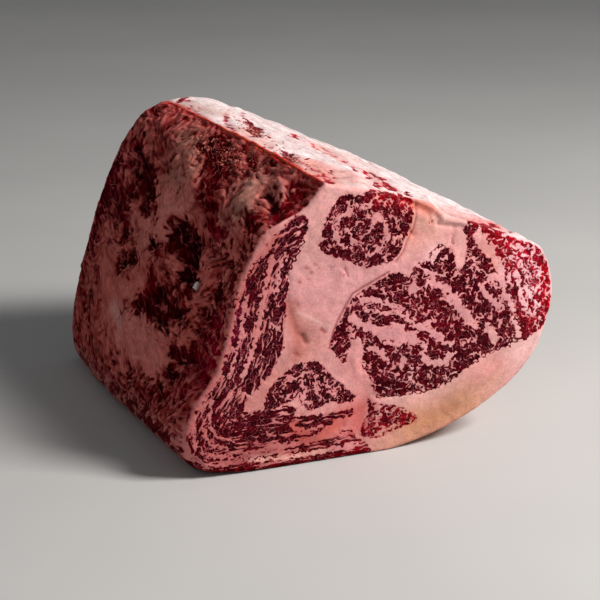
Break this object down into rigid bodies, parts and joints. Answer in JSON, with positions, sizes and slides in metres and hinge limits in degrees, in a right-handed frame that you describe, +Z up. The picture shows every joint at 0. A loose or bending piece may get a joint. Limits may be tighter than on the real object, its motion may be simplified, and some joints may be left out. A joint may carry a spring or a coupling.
{
  "type": "boneless rib-eye joint of beef",
  "caption": "Thick block of raw, heavily marbled boneless rib-eye, knife-cut flat at both ends, with a rough chine side, a strip of back fat and a fat cap round the nose.",
  "frame": {"origin": "on the surface the joint rests on, under the middle of its bounding box", "axes": "+Z up; +Y along the loin, from the shown cut face to the far one; +X across the cut face, from the belly corner to the nose"},
  "size_m": [0.1898, 0.1924, 0.1376],
  "materials": {
    "raw_beef": "raw marbled beef: moist dark red lean with a fine net of pink-white fat, semi-gloss"
  },
  "bodies": {
    "root": {"rib_eye_joint": "raw_beef"}
  },
  "joints": []
}
